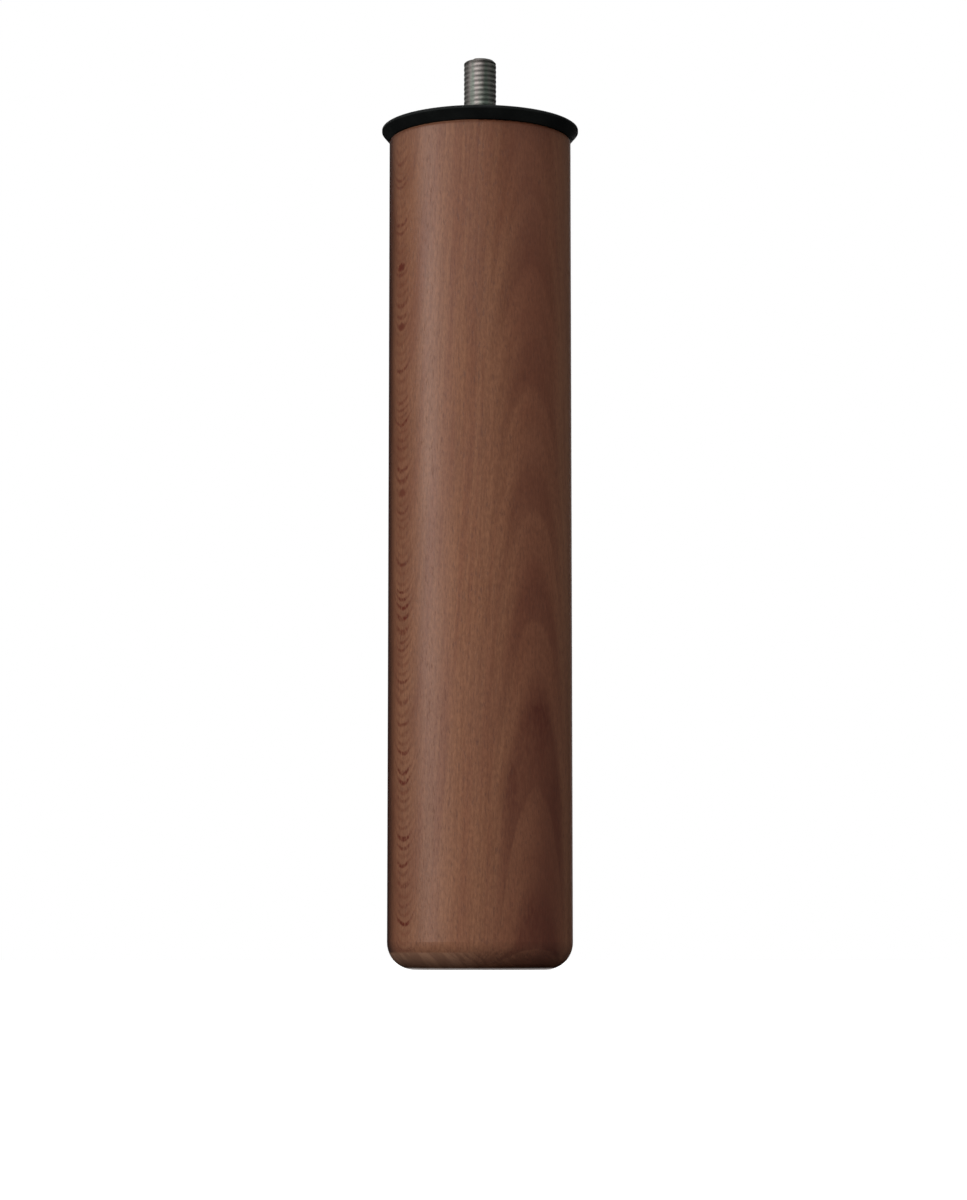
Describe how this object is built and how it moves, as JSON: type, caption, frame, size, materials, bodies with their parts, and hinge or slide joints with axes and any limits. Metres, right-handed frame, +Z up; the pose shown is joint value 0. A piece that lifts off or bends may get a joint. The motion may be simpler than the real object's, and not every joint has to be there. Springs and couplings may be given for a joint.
{
  "type": "wooden furniture leg",
  "caption": "Straight round wooden furniture leg with a rounded foot, a black plastic disc on its top end and a threaded metal stud that screws it under a bed base or sofa.",
  "frame": {"origin": "centre of the flat face of the foot, on the leg's axis, at floor level", "axes": "+Z up along the leg's axis, towards the stud; the leg is round, so +X and +Y are free"},
  "size_m": [0.0596, 0.0596, 0.275],
  "materials": {
    "stained_beech": "satin",
    "black_plastic": "matte",
    "zinc_plated_steel": "zinc plated"
  },
  "bodies": {
    "root": {"leg_body": "stained_beech", "top_disc": "black_plastic", "hanger_bolt": "zinc_plated_steel"}
  },
  "joints": []
}
